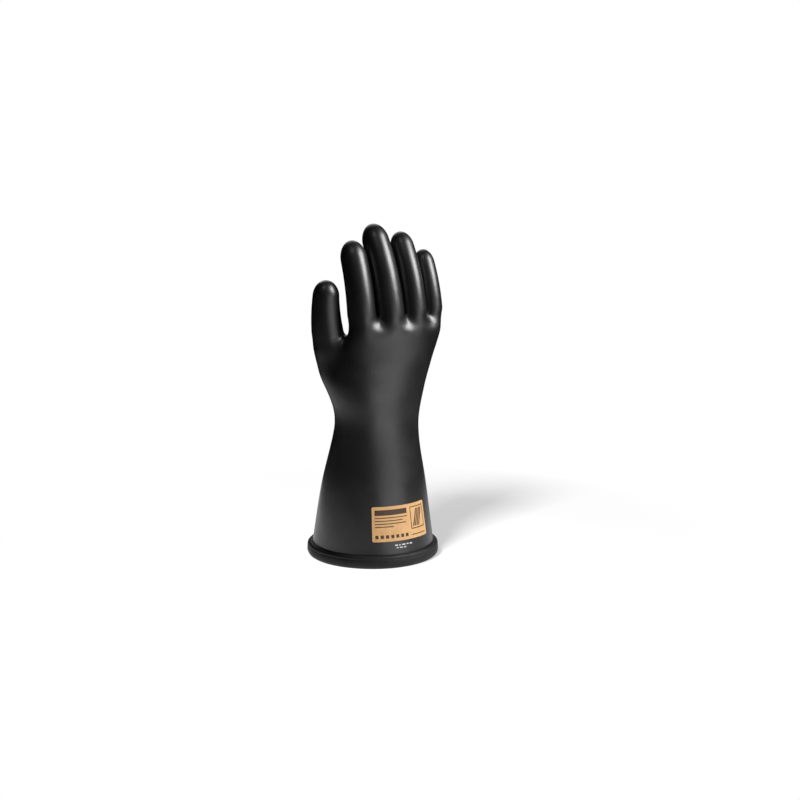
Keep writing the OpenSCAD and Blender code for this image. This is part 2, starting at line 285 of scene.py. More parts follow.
def digit_arc(d):
    """Radius, first angle and middle of the arc that the digit's middle line follows."""
    lean, curl = math.radians(d["lean"]), math.radians(d["curl"])
    r = d["length"] / curl
    return r, lean, (r * math.cos(lean), -r * math.sin(lean))


def digit_line(d, s):
    """Points of the digit's middle line, at lengths s from its root."""
    r, lean, middle = digit_arc(d)
    angle = lean + np.atleast_1d(s) / r
    y = middle[0] - r * np.cos(angle)
    z = middle[1] + r * np.sin(angle)
    return digit_root(d) + np.stack([0 * angle, y, z], -1) @ digit_turn(d).T


def digit_gather(d, s):
    """How far the buried foot of the digit moves over to the hand's middle line."""
    line = digit_line(d, s)
    x, y = axis_at(line[:, 2])
    share = d["gather"] * (np.maximum(-s, 0) / d["foot"]) ** d["power"]
    return np.stack([share * (x - line[:, 0]), share * (y - line[:, 1]), 0 * s], -1)


def digit_local(d, p):
    """Sideways, palm-ward and lengthwise places of points, along the digit's arc."""
    r, lean, middle = digit_arc(d)
    q = (p - digit_root(d)) @ digit_turn(d)
    y, z = q[:, 1] - middle[0], q[:, 2] - middle[1]
    return q[:, 0], r - np.hypot(y, z), (np.arctan2(z, -y) - lean) * r


def digit_coords(d, p):
    """The same places, with the foot's gathering undone."""
    s = np.clip(digit_local(d, p)[2], -d["foot"], 0)
    return digit_local(d, p - digit_gather(d, s))


def digit_cap(d):
    """Length of the closed tip, and where along the digit it starts."""
    cap_len = d["w"] / 2 * (1 - d["taper"]) * d["tip_long"]
    return cap_len, d["length"] - cap_len


def digit_girth(d, s):
    """Half width along the digit, which tapers to the tip and swells in the foot."""
    cap_start = digit_cap(d)[1]
    slimmer = d["taper"] * np.clip(s, 0, cap_start) / cap_start
    swollen = d["swell"] * np.clip(-s, 0, d["foot"]) / d["foot"]
    return d["w"] / 2 * (1 - slimmer + swollen)


def digit_distance(d, p):
    """Rough distance to a digit, with its foot and its closed tip."""
    x, n, s = digit_coords(d, p)
    cap_len, cap_start = digit_cap(d)
    half = digit_girth(d, np.minimum(s, cap_start))
    past = np.maximum(s - cap_start, 0) + np.maximum(-d["foot"] - s, 0)
    return oval_distance([(x, half), (n, half * d["deep"]), (past, cap_len)])


def digit_point(d, x, n, s):
    """The place of points given sideways, palm-ward and along the digit."""
    r, lean, middle = digit_arc(d)
    angle = lean + s / r
    y = middle[0] - (r - n) * np.cos(angle)
    z = middle[1] + (r - n) * np.sin(angle)
    return digit_root(d) + np.stack([x, y, z], -1) @ digit_turn(d).T


# The thumb's web, and the union of all forms

def triangle_distance(p, a, b, c):
    normal = np.cross(b - a, a - c)

    def edge(u, v):
        along = v - u
        t = np.clip(((p - u) @ along) / (along @ along), 0, 1)
        return ((p - u - t[:, None] * along) ** 2).sum(1)

    inside = np.ones(len(p), bool)
    for u, v in ((a, b), (b, c), (c, a)):
        inside &= ((p - u) @ np.cross(v - u, normal)) >= 0
    near_edge = np.minimum(np.minimum(edge(a, b), edge(b, c)), edge(c, a))
    flat = ((p - a) @ normal) ** 2 / (normal @ normal)
    return np.sqrt(np.where(inside, flat, near_edge))


def web_corners():
    """The upper and lower corners of the thumb's web, on the thumb and on the index finger."""
    corners = []
    for name, ends in (("thumb", WEB_THUMB), ("index", WEB_INDEX)):
        ends = np.array(ends)
        corners.append(digit_line(DIGITS[name], ends) + digit_gather(DIGITS[name], ends))
    return corners


WEB = web_corners()


def web_distance(p):
    (thumb_top, thumb_low), (index_top, index_low) = WEB
    upper = triangle_distance(p, thumb_top, thumb_low, index_top)
    lower = triangle_distance(p, thumb_low, index_low, index_top)
    return np.minimum(upper, lower) - WEB_R


def flow(a, b, width):
    """Union of two distances that flow into each other."""
    h = np.clip(0.5 + 0.5 * (b - a) / width, 0, 1)
    return b + (a - b) * h - width * h * (1 - h)


def fading(z, heights, below, above):
    """A width that goes over from one value to another between two heights."""
    t = np.clip((z - heights[0]) / (heights[1] - heights[0]), 0, 1)
    return below + (above - below) * t * t * (3 - 2 * t)


def gradient(distance, p):
    """How a distance changes at points, by small steps along each axis."""
    out = np.empty_like(p)
    for axis in range(3):
        shift = np.zeros(3)
        shift[axis] = GRADIENT_STEP
        out[:, axis] = (distance(p + shift) - distance(p - shift)) / (2 * GRADIENT_STEP)
    return out


def normals_at(distance, p):
    g = gradient(distance, p)
    return g / np.linalg.norm(g, axis=1)[:, None]


def finger_distance(p):
    """The fingers, whose feet flow into each other below the forks."""
    width = fading(p[:, 2], FINGER_BLEND_Z, *BLEND_FINGERS)
    out = digit_distance(DIGITS[FINGERS[0]], p)
    for name in FINGERS[1:]:
        out = flow(out, digit_distance(DIGITS[name], p), width)
    return out


def hand_distance(p, trunk):
    """The palm with its fingers. They flow together most in the forks, where their faces meet,
    and not at all where a finger lies flush with the back of the hand."""
    fingers = finger_distance(p)
    out = np.minimum(trunk, fingers)
    near = (np.abs(trunk) < BLEND_FORK) & (np.abs(fingers) < BLEND_FORK)
    q = p[near]
    if len(q):
        along = (normals_at(trunk_distance, q) * normals_at(finger_distance, q)).sum(1)
        width = BLEND_FORK * np.sqrt(np.maximum(1 - along, 0) / 2)
        out[near] = flow(trunk[near], fingers[near], np.maximum(width, LEAST_BLEND))
    return out


def glove_distance(p):
    """Rough distance to the whole glove's outside, which is below 0 inside it."""
    out = trunk_distance(p)
    upper = p[:, 2] > LOWEST_DIGIT_Z
    q = p[upper]
    if len(q):
        hand = hand_distance(q, out[upper])
        thumb = digit_distance(DIGITS["thumb"], q)
        width = fading(q[:, 2], THUMB_BLEND_Z, *BLEND_THUMB)
        heel = fading(q[:, 2], HEEL_RISE_Z, 0, BLEND_HEEL)
        heel = heel * fading(q[:, 2], HEEL_FALL_Z, 1, 0)
        hand = flow(hand, web_distance(q), np.minimum(width, BLEND_WEB))
        out[upper] = flow(hand, thumb, width + heel)
    return out


def onto_skin(p, inset, passes):
    """Points moved to where the distance is that of the skin's face."""
    for _ in range(passes):
        g = gradient(glove_distance, p)
        step = (glove_distance(p) + inset) / np.maximum((g * g).sum(1), LEAST_SQUARE)
        p = p - step[:, None] * g
    return p


# Meshing of the skin

def field_on_grid(low, counts):
    """The glove's distance at every place of the grid, a level at a time."""
    axes = [low[i] + CELL * np.arange(counts[i]) for i in range(3)]
    field = np.empty(counts)
    plane = np.stack(np.meshgrid(axes[0], axes[1], indexing="ij"), -1).reshape(-1, 2)
    for k, z in enumerate(axes[2]):
        p = np.column_stack([plane, np.full(len(plane), z)])
        field[:, :, k] = glove_distance(p).reshape(counts[0], counts[1])
    return field


def surface_net(field, low):
    """Quads round every grid edge that the surface crosses, with a point in each crossed cell."""
    shape = np.array(field.shape) - 1
    corners = [(i, j, k) for i in (0, 1) for j in (0, 1) for k in (0, 1)]

    def corner(c):
        return field[c[0]:c[0] + shape[0], c[1]:c[1] + shape[1], c[2]:c[2] + shape[2]]

    inside = sum((corner(c) < 0).astype(np.int8) for c in corners)
    cells = np.argwhere((inside > 0) & (inside < 8))
    ids = np.full(shape, -1)
    ids[tuple(cells.T)] = np.arange(len(cells))
    total, hits = np.zeros((len(cells), 3)), np.zeros(len(cells))
    for a in corners:
        for axis in range(3):
            if a[axis]:
                continue
            b = tuple(v + (i == axis) for i, v in enumerate(a))
            fa, fb = (field[tuple((cells + np.array(c)).T)] for c in (a, b))
            cross = (fa < 0) != (fb < 0)
            t = np.where(cross, fa / np.where(cross, fa - fb, 1), 0)
            point = np.array(a, float) + t[:, None] * (np.arange(3) == axis)
            total += np.where(cross[:, None], point, 0)
            hits += cross
    points = low + CELL * (cells + total / hits[:, None])
    quads = []
    for axis in range(3):
        u, v = (axis + 1) % 3, (axis + 2) % 3
        first = np.take(field, range(field.shape[axis] - 1), axis) < 0
        second = np.take(field, range(1, field.shape[axis]), axis) < 0
        edges = np.argwhere(first != second)
        inner = (edges[:, u] > 0) & (edges[:, v] > 0)
        inner &= (edges[:, u] < shape[u]) & (edges[:, v] < shape[v])
        edges = edges[inner]
        ring = []
        for du, dv in ((1, 1), (0, 1), (0, 0), (1, 0)):
            cell = edges.copy()
            cell[:, u] -= du
            cell[:, v] -= dv
            ring.append(ids[tuple(cell.T)])
        quad = np.stack(ring, 1)
        outward = first[tuple(edges.T)]
        quads.append(np.where(outward[:, None], quad, quad[:, ::-1]))
    return points, np.concatenate(quads)


def relaxed(points, quads, inset):
    """The points spread evenly over the skin's face."""
    a, b = quads.ravel(), np.roll(quads, -1, 1).ravel()
    for _ in range(RELAX_PASSES):
        total, count = np.zeros_like(points), np.zeros(len(points))
        for i, j in ((a, b), (b, a)):
            np.add.at(total, i, points[j])
            np.add.at(count, i, 1)
        middles = total / np.maximum(count, 1)[:, None]
        points = onto_skin((points + middles) / 2, inset, 1)
    return onto_skin(points, inset, SETTLE_PASSES)


def digit_direction(d, s):
    ends = digit_line(d, s + BOTH_WAYS)
    return ends[1] - ends[0]


def nearest_digit(p, inset):
    """Number of the digit whose skin a point lies on, or -1, and the point's length along it."""
    names = list(DIGITS)
    off = np.abs([digit_distance(DIGITS[name], p) + inset for name in names])
    along = np.array([digit_local(DIGITS[name], p)[2] for name in names])
    best = off.argmin(0)
    every = np.arange(len(p))
    return np.where(off[best, every] < NEAR, best, -1), along[best, every]


def cut_skin(points, quads, normals, inset):
    """The skin of gauntlet and palm, cut clean at the bead and where the digits' skins start."""
    bm = bmesh.new()
    shading = bm.verts.layers.float_vector.new("shading")
    verts = [bm.verts.new(p) for p in points]
    for vert, normal in zip(verts, normals):
        vert[shading] = normal
    for quad in quads:
        bm.faces.new([verts[i] for i in quad])
    everything = bm.verts[:] + bm.edges[:] + bm.faces[:]
    bmesh.ops.bisect_plane(bm, geom=everything, plane_co=(0, 0, SEAT_Z), plane_no=(0, 0, 1),
                           clear_inner=True)
    for number, d in enumerate(DIGITS.values()):
        bm.verts.index_update()
        owner, along = nearest_digit(np.array([v.co for v in bm.verts]), inset)
        close = (owner == number) & (np.abs(along - d["start"]) < CUT_REACH)
        faces = [f for f in bm.faces if all(close[v.index] for v in f.verts)]
        edges = list(dict.fromkeys(e for f in faces for e in f.edges))
        corners = list(dict.fromkeys(v for f in faces for v in f.verts))
        bmesh.ops.bisect_plane(bm, geom=corners + edges + faces,
                               plane_co=digit_line(d, d["start"])[0],
                               plane_no=digit_direction(d, d["start"]))
    faces = bm.faces[:]
    owner, along = nearest_digit(np.array([f.calc_center_median() for f in faces]), inset)
    starts = np.array([d["start"] for d in DIGITS.values()])
    gone = (owner >= 0) & (along > starts[owner])
    bmesh.ops.delete(bm, geom=[f for f, g in zip(faces, gone) if g], context="FACES")
    bm.verts.index_update()
    co = np.array([v.co for v in bm.verts])
    out = [[v.index for v in f.verts] for f in bm.faces]
    normals = np.array([v[shading] for v in bm.verts])
    bm.free()
    return co, out, normals / np.linalg.norm(normals, axis=1)[:, None]


def boundary_loops(bm):
    """The open edges, in groups that hang together."""
    left = dict.fromkeys(e for e in bm.edges if e.is_boundary)
    loops = []
    while left:
        todo, loop = [left.popitem()[0]], []
        while todo:
            edge = todo.pop()
            loop.append(edge)
            for vert in edge.verts:
                for linked in vert.link_edges:
                    if linked in left:
                        del left[linked]
                        todo.append(linked)
        loops.append(loop)
    return loops


def loop_middle(loop):
    return sum((v.co for e in loop for v in e.verts), Vector()) / (2 * len(loop))


def walled_piece(name, outer, inner):
    """A closed piece from its outer and inner skin, with flat rims where it was cut."""
    bm = bmesh.new()
    normals = []
    for (co, faces, normal), flip in ((outer, False), (inner, True)):
        verts = [bm.verts.new(p * MM) for p in co]
        normals += list(-normal if flip else normal)
        for f in faces:
            bm.faces.new([verts[i] for i in (reversed(f) if flip else f)])
    bm.verts.index_update()
    skin_faces = len(bm.faces)
    loops = boundary_loops(bm)
    outside = [loop for loop in loops if loop[0].verts[0].index < len(outer[0])]
    inside = [loop for loop in loops if loop[0].verts[0].index >= len(outer[0])]
    for loop in outside:
        twin = min(inside, key=lambda other: (loop_middle(other) - loop_middle(loop)).length)
        bmesh.ops.bridge_loops(bm, edges=loop + twin)
    bmesh.ops.recalc_face_normals(bm, faces=bm.faces[:])
    mesh = bpy.data.meshes.new(name)
    bm.to_mesh(mesh)
    bm.free()
    split = []
    for polygon in mesh.polygons:
        polygon.use_smooth = True
        rim = polygon.index >= skin_faces
        for i in polygon.loop_indices:
            split.append(polygon.normal if rim else normals[mesh.loops[i].vertex_index])
    mesh.normals_split_custom_set(split)
    return add_object(name, mesh)


def add_object(name, mesh):
    obj = bpy.data.objects.new(name, mesh)
    bpy.context.scene.collection.objects.link(obj)
    return obj


def fair_share(p, inset):
    """How much a point takes part in the fairing: fully round the forks, not at a digit's skin."""
    share = fading(p[:, 2], FAIR_Z, 0, 1)
    for d in DIGITS.values():
        near = np.abs(digit_distance(d, p) + inset) < FAIR_NEAR
        left = np.clip((d["start"] - FAIR_EDGE - digit_local(d, p)[2]) / FAIR_LEN, 0, 1)
        share = np.where(near, np.minimum(share, left * left * (3 - 2 * left)), share)
    return share


def faired(points, quads, share, moves):
    """The points with creases smoothed out, by moves to and from their neighbours' middles."""
    a, b = quads.ravel(), np.roll(quads, -1, 1).ravel()
    first, second = np.append(a, b), np.append(b, a)
    count = np.maximum(np.bincount(first, minlength=len(points)), 1)
    for step in moves:
        total = [np.bincount(first, points[second, axis], len(points)) for axis in range(3)]
        middles = np.stack(total, -1) / count[:, None]
        points = points + (step * share)[:, None] * (middles - points)
    return points


def mesh_normals(points, quads):
    """Normals at the points, as means of the quads round them."""
    p = points[quads]
    face = np.cross(p[:, 2] - p[:, 0], p[:, 3] - p[:, 1])
    corners = quads.ravel()
    out = [np.bincount(corners, np.repeat(face[:, axis], 4), len(points)) for axis in range(3)]
    out = np.stack(out, -1)
    return out / np.maximum(np.linalg.norm(out, axis=1), LEAST_LENGTH)[:, None]


def hand_surface(field, low, inset):
    """One face of the skin of gauntlet and palm, with its forks and wrist softened."""
    points, quads = surface_net(field + inset, low)
    points = relaxed(points, quads, inset)
    share = fair_share(points, inset)
    z = points[:, 2]
    soft = fading(z, SOFT_RISE_Z, 0, 1) * fading(z, SOFT_FALL_Z, 1, 0)
    normals = normals_at(glove_distance, points)
    points = faired(points, quads, share, FAIR_STEPS * FAIR_PASSES)
    fork = share * fading(points[:, 2], FORK_SOFT_Z, 0, 1)
    points = faired(points, quads, fork, (SOFT_STEP,) * FORK_PASSES)
    points = faired(points, quads, soft, (SOFT_STEP,) * SOFT_PASSES)
    points = points + SOFT_SWELL * soft[:, None] * mesh_normals(points, quads)
    normals += np.maximum(share, soft)[:, None] * (mesh_normals(points, quads) - normals)
    return cut_skin(points, quads, normals, inset)


def digit_surface(d, first, last, inset):
    """Rings of a digit's skin from one length to another, or over the tip to its end."""
    cap_len, cap_start = digit_cap(d)
    closed = last is None
    end = cap_start if closed else last
    s = np.linspace(first, end, max(2, round((end - first) / RING_STEP) + 1))
    half = digit_girth(d, s) - inset
    deep = digit_girth(d, s) * d["deep"] - inset
    if closed:
        rise = np.linspace(0, math.pi / 2, CAP_STEPS, endpoint=False)[1:]
        s = np.append(s, cap_start + (cap_len - inset) * np.sin(rise))
        half = np.append(half, half[-1] * np.cos(rise))
        deep = np.append(deep, deep[-1] * np.cos(rise))
    turn = 2 * math.pi * np.arange(DIGIT_STEPS) / DIGIT_STEPS
    x, n = np.outer(half, np.cos(turn)), np.outer(deep, np.sin(turn))
    co = digit_point(d, x, n, np.repeat(s[:, None], DIGIT_STEPS, 1)).reshape(-1, 3)
    faces = []
    for i in range(len(s) - 1):
        for j in range(DIGIT_STEPS):
            a, b = i * DIGIT_STEPS + j, i * DIGIT_STEPS + (j + 1) % DIGIT_STEPS
            faces.append([a, a + DIGIT_STEPS, b + DIGIT_STEPS, b])
    if closed:
        top = len(co)
        end = digit_point(d, np.zeros(1), np.zeros(1), np.array([d["length"] - inset]))
        co = np.vstack([co, end])
        ring = top - DIGIT_STEPS
        for j in range(DIGIT_STEPS):
            faces.append([ring + j, top, ring + (j + 1) % DIGIT_STEPS])
    return co, faces, normals_at(lambda p: digit_distance(d, p), co)


def make_skin(material):
    """The dipped rubber skin, parted into the glove and each digit's base and tip."""
    top = KNUCKLE_Z + 2 * FORK_RISE + GRID_ABOVE
    low = np.array([-CUFF_R, -CUFF_R, SEAT_Z - GRID_BELOW]) - GRID_MARGIN
    high = np.array([GRID_RIGHT_X, CUFF_R, top]) + GRID_MARGIN
    field = field_on_grid(low, tuple(np.ceil((high - low) / CELL).astype(int)))
    walls = [hand_surface(field, low, inset) for inset in INSETS]
    skins = {"glove": walled_piece("glove_skin", *walls)}
    for name, d in DIGITS.items():
        for part, first, last in (("base", d["start"], d["part"]), ("tip", d["part"], None)):
            walls = [digit_surface(d, first, last, inset) for inset in INSETS]
            skins[f"{name}_{part}"] = walled_piece(f"{name}_{part}_skin", *walls)
    for skin in skins.values():
        skin.data.materials.append(material)
    return skins


def metres(point):
    return tuple(float(v) * MM for v in point)


def join_skin(skins):
    """Each piece of skin is baked in place, and the solids that it covers are hidden."""
    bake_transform(skins["glove"])
    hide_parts("gauntlet", "wrist_fold", "palm")
    for name, d in DIGITS.items():
        base, tip = skins[name + "_base"], skins[name + "_tip"]
        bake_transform(base)
        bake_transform(tip)
        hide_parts(name + "_root_fold", name + "_stall")
        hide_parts(name + "_mid_fold", name + "_tip")


# The rolled bead

BEAD_STEPS = 288
FOOT_STEPS = 14
ROLL_STEPS = 44
LIP_STEPS = 8
BEAD_SHARP = math.radians(40)
SEAT_GAP = 0.1
GROOVE_ANGLE = math.radians(8)
GROOVE_HALF = 0.7
GROOVE_DEPTH = 0.55
# Waves of the hand-rolled bead: how many go round it, their phase and their height. WAVE_LIFT is
# the share of a wave that also lifts the roll.
BEAD_WAVES = ((3, 0.7, 0.17), (7, 2.1, 0.12), (17, 0.4, 0.06))
WAVE_LIFT = 0.6


def bead_section():
    """The roll's section as radius and height, from the foot round the outside to the mouth."""
    half = BEAD_D / 2
    seat_r = CUFF_R + SEAT_GAP
    foot_angle = math.asin(BEAD_LOW_Z / half)
    seat_angle = math.acos((seat_r - BEAD_R) / half)
    wall_angle = math.acos((CUFF_R - WALL - BEAD_R) / half)
    lip_x = BEAD_R - MOUTH_R
    lip_angle = math.asin(math.sqrt(half ** 2 - lip_x ** 2) / half)
    out = []

    def add_arc(middle_z, first, last, steps, groove=0.0):
        for a in np.linspace(first, last, steps):
            depth = groove * math.exp(-((a - GROOVE_ANGLE) * half / GROOVE_HALF) ** 2)
            r = half - depth
            out.append((BEAD_R + r * math.cos(a), middle_z + r * math.sin(a)))

    add_arc(BEAD_LOW_Z, -foot_angle, 0, FOOT_STEPS)
    add_arc(BEAD_TOP_Z, 0, seat_angle, ROLL_STEPS, GROOVE_DEPTH)
    out.append((seat_r, SEAT_Z))
    add_arc(BEAD_TOP_Z, wall_angle, math.pi - lip_angle, LIP_STEPS)
    add_arc(BEAD_LOW_Z, math.pi + lip_angle, math.pi + foot_angle, LIP_STEPS)
    return np.array(out)


def make_bead(material):
    """The roll round the cuff's mouth, with its lap groove and slight waves."""
    section = bead_section()
    bm = bmesh.new()
    rings = []
    for i in range(BEAD_STEPS):
        a = 2 * math.pi * i / BEAD_STEPS
        wave = sum(height * math.sin(count * a + phase) for count, phase, height in BEAD_WAVES)
        ring = []
        for r, z in section:
            out = max(0.0, min(1.0, (r - BEAD_R) / (BEAD_D / 2)))
            radius = r + wave * out
            height = z + WAVE_LIFT * wave * out if z > BEAD_LOW_Z else z
            place = (radius * math.cos(a), radius * math.sin(a), height)
            ring.append(bm.verts.new(metres(place)))
        rings.append(ring)
    count = len(section)
    for i in range(BEAD_STEPS):
        here, after = rings[i], rings[(i + 1) % BEAD_STEPS]
        for j in range(count):
            k = (j + 1) % count
            bm.faces.new((here[j], after[j], after[k], here[k])).smooth = True
    bmesh.ops.recalc_face_normals(bm, faces=bm.faces[:])
    mesh = bpy.data.meshes.new("cuff_roll")
    bm.to_mesh(mesh)
    bm.free()
    mesh.set_sharp_from_angle(angle=BEAD_SHARP)
    mesh.materials.append(material)
    obj = add_object("cuff_roll", mesh)
    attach(obj, "cuff")
    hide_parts("cuff_bead")


# The label patch and its print

LABEL_COLUMNS = 60
LABEL_ROWS = 16
CORNER_ROWS = 7
PRINT_CELL_W = 1.5
PRINT_CELL_H = 2.5
PRINT_SHARP = math.radians(35)


def on_gauntlet(u, z, lift):
    """A point u round from the label's middle, at height z and lifted off the rubber."""
    a = LABEL_TURN + u / CUFF_R
    x, y = axis_at(z)
    half_w, half_d = section_at(z, WIDE) + lift, section_at(z, DEEP) + lift
    return np.stack([x + half_w * np.sin(a), y - half_d * np.cos(a), z], -1)


def add_slab(bm, u, z, low, high):
    """A thin slab over a grid of places on the gauntlet, closed all round."""
    sheets = []
    for lift in (low, high):
        p = on_gauntlet(u, z, lift) * MM
        sheets.append([[bm.verts.new(v) for v in row] for row in p])
    under, over = sheets
    rows, columns = u.shape
    for sheet, flip in ((under, True), (over, False)):
        for i in range(rows - 1):
            for j in range(columns - 1):
                quad = (sheet[i][j], sheet[i][j + 1], sheet[i + 1][j + 1], sheet[i + 1][j])
                bm.faces.new(quad[::-1] if flip else quad)
    rim = [(0, j) for j in range(columns)]
    rim += [(i, columns - 1) for i in range(1, rows)]
    rim += [(rows - 1, j) for j in range(columns - 2, -1, -1)]
    rim += [(i, 0) for i in range(rows - 2, 0, -1)]
    for (i, j), (m, n) in zip(rim, rim[1:] + rim[:1]):
        bm.faces.new((under[i][j], under[m][n], over[m][n], over[i][j]))


def add_bar(bm, low, high, left, bottom, width, height, slant=0.0):
    """A printed bar on the label, from its lower left corner, upright or slanting."""
    columns = int(width / PRINT_CELL_W) + 2
    rows = int(height / PRINT_CELL_H) + 2
    across = np.linspace(left, left + width, columns)
    up = np.linspace(bottom, bottom + height, rows)
    u, z = np.meshgrid(across, up)
    add_slab(bm, u + slant * (z - bottom), z, low, high)


def add_frame(bm, low, high, left, bottom, width, height, line):
    """Four printed bars round a field."""
    for above in (0, height - line):
        add_bar(bm, low, high, left, bottom + above, width, line)
    for beside in (0, width - line):
        add_bar(bm, low, high, left + beside, bottom + line, line, height - 2 * line)


def finish_print(bm, name, material):
    """A piece on the cuff from the slabs in a bmesh."""
    bmesh.ops.recalc_face_normals(bm, faces=bm.faces[:])
    mesh = bpy.data.meshes.new(name)
    bm.to_mesh(mesh)
    bm.free()
    for polygon in mesh.polygons:
        polygon.use_smooth = True
    mesh.set_sharp_from_angle(angle=PRINT_SHARP)
    mesh.materials.append(material)
    obj = add_object(name, mesh)
    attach(obj, "cuff")
    return obj


def make_label(material):
    """The patch, a thin sheet with rounded corners that lies on the gauntlet."""
    bm = bmesh.new()
    low = np.linspace(0, LABEL_CORNER, CORNER_ROWS)
    middle = np.linspace(LABEL_CORNER, LABEL_H - LABEL_CORNER, LABEL_ROWS)[1:-1]
    high = np.linspace(LABEL_H - LABEL_CORNER, LABEL_H, CORNER_ROWS)
    v = np.concatenate([low, middle, high])
    over = np.maximum(np.abs(v - LABEL_H / 2) - (LABEL_H / 2 - LABEL_CORNER), 0)
    half = LABEL_W / 2 - LABEL_CORNER + np.sqrt(np.maximum(LABEL_CORNER ** 2 - over ** 2, 0))
    u = np.linspace(-1, 1, LABEL_COLUMNS)[None, :] * half[:, None]
    z = np.repeat((LABEL_Z + v)[:, None], LABEL_COLUMNS, 1)
    add_slab(bm, u, z, LABEL_LIFT, LABEL_T)
    sheet = finish_print(bm, "label_sheet", material)
    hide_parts("label_patch")


def make_print(material):
    """Plain marks on the patch: a bar, ruled lines, a hatched field and a row of squares."""
    bm = bmesh.new()
    skin = (LABEL_T, LABEL_T + PRINT_T)
    left, bottom = PRINT_MARGIN - LABEL_W / 2, LABEL_Z + PRINT_MARGIN
    top = LABEL_Z + LABEL_H - PRINT_MARGIN
    add_bar(bm, *skin, left, top - TITLE_H, TITLE_W, TITLE_H)
    for i, share in enumerate(RULE_SHARES):
        add_bar(bm, *skin, left, top - TITLE_H - (i + 1) * RULE_STEP, share * TITLE_W, RULE_H)
    for i in range(SQUARES):
        add_bar(bm, *skin, left + i * (SQUARE + SQUARE_GAP), bottom, SQUARE, SQUARE)
    field_left, field_bottom = LABEL_W / 2 - PRINT_MARGIN - FIELD_W, top - FIELD_H
    add_frame(bm, *skin, field_left, field_bottom, FIELD_W, FIELD_H, FIELD_LINE)
    hatch_h = FIELD_H - 2 * HATCH_INSET
    hatch_step = (FIELD_W - 2 * HATCH_INSET - HATCH_W - HATCH_SLANT * hatch_h) / (HATCHES - 1)
    for i in range(HATCHES):
        add_bar(bm, *skin, field_left + HATCH_INSET + i * hatch_step, field_bottom + HATCH_INSET,
                HATCH_W, hatch_h, HATCH_SLANT)
    add_bar(bm, *skin, field_left, bottom, FIELD_W, RULE_H)
    finish_print(bm, "label_print", material)


def make_stamp(material):
    """Two short rows of plain dashes in white ink."""
    bm = bmesh.new()
    for bottom, left, dashes in STAMP_ROWS:
        for length in dashes:
            add_bar(bm, 0.0, STAMP_T, left, bottom, length, DASH_H)
            left += length + DASH_GAP
    finish_print(bm, "ink_stamp", material)


# Materials. Tones are a dark and a pale colour, grains are scales of noise, and bumps are layers of
# (scale, depth in metres).

RUBBER_TONES = ((0.004, 0.004, 0.0043), (0.008, 0.008, 0.0084))
RUBBER_CLOUD = 18.0
RUBBER_GRAIN = 45.0
SKIN_ROUGHNESS = (0.35, 0.41)
SKIN_GLOSS = 0.78
SKIN_BUMPS = ((1400.0, 0.00002), (60.0, 0.0002))
ROLL_ROUGHNESS = (0.52, 0.64)
ROLL_GLOSS = 0.32
ROLL_BUMPS = ((700.0, 0.00005), (110.0, 0.0005))
PRINT_ROUGHNESS = (0.5, 0.65)
LABEL_TONES = ((0.48, 0.265, 0.105), (0.57, 0.335, 0.145))
LABEL_FIBRE = (160.0, 6.0, 0.7)
LABEL_GRAIN = 300.0
LABEL_BUMPS = ((1800.0, 0.00004), (120.0, 0.0001))
BROWN_TONES = ((0.03, 0.014, 0.005), (0.06, 0.028, 0.01))
BROWN_GRAIN = 400.0
WHITE_TONES = ((0.36, 0.36, 0.37), (0.62, 0.62, 0.62))
WHITE_GRAIN = 500.0
INK_DETAIL = 4.0


def new_material(name):
    material = bpy.data.materials.new(name)
    material.use_nodes = True
    nodes, links = material.node_tree.nodes, material.node_tree.links
    return material, nodes, links, nodes["Principled BSDF"]


def noise(nodes, links, scale, detail=3.0, roughness=0.55):
    place = nodes.new("ShaderNodeTexCoord")
    texture = nodes.new("ShaderNodeTexNoise")
    texture.inputs["Scale"].default_value = scale
    texture.inputs["Detail"].default_value = detail
    texture.inputs["Roughness"].default_value = roughness
    links.new(place.outputs["Object"], texture.inputs["Vector"])
    return texture.outputs["Fac"]


def mapped(nodes, links, value, low, high, start=0.3, end=0.7):
    """A value spread from start to end over low to high. The defaults are where most noise lies."""
    span = nodes.new("ShaderNodeMapRange")
    span.inputs["From Min"].default_value = start
    span.inputs["From Max"].default_value = end
    span.inputs["To Min"].default_value = low
    span.inputs["To Max"].default_value = high
    links.new(value, span.inputs["Value"])
    return span.outputs["Result"]


def add_tones(nodes, links, shader, value, tones):
    """Base colour that goes from a dark to a pale tone with a noise."""
    dark, pale = tones
    mix = nodes.new("ShaderNodeMix")
    mix.data_type = "RGBA"
    mix.inputs["A"].default_value = (*dark, 1)
    mix.inputs["B"].default_value = (*pale, 1)
    links.new(mapped(nodes, links, value, 0, 1), mix.inputs["Factor"])
    links.new(mix.outputs["Result"], shader.inputs["Base Color"])


def add_roughness(nodes, links, shader, value, limits):
    links.new(mapped(nodes, links, value, *limits), shader.inputs["Roughness"])


def add_bump(nodes, links, shader, layers):
    """Bump from layers of noise, stacked."""
    last = None
    for scale, depth in layers:
        bump = nodes.new("ShaderNodeBump")
        bump.inputs["Distance"].default_value = depth
        bump.inputs["Strength"].default_value = 1.0
        links.new(noise(nodes, links, scale), bump.inputs["Height"])
        if last is not None:
            links.new(last, bump.inputs["Normal"])
        last = bump.outputs["Normal"]
    links.new(last, shader.inputs["Normal"])


def rubber_material(name, roughness, specular, bumps):
    """Dipped black rubber: satin, with faint flow marks and a very fine grain."""
    material, nodes, links, shader = new_material(name)
    add_tones(nodes, links, shader, noise(nodes, links, RUBBER_CLOUD), RUBBER_TONES)
    add_roughness(nodes, links, shader, noise(nodes, links, RUBBER_GRAIN), roughness)
    shader.inputs["Specular IOR Level"].default_value = specular
    add_bump(nodes, links, shader, bumps)
    return material


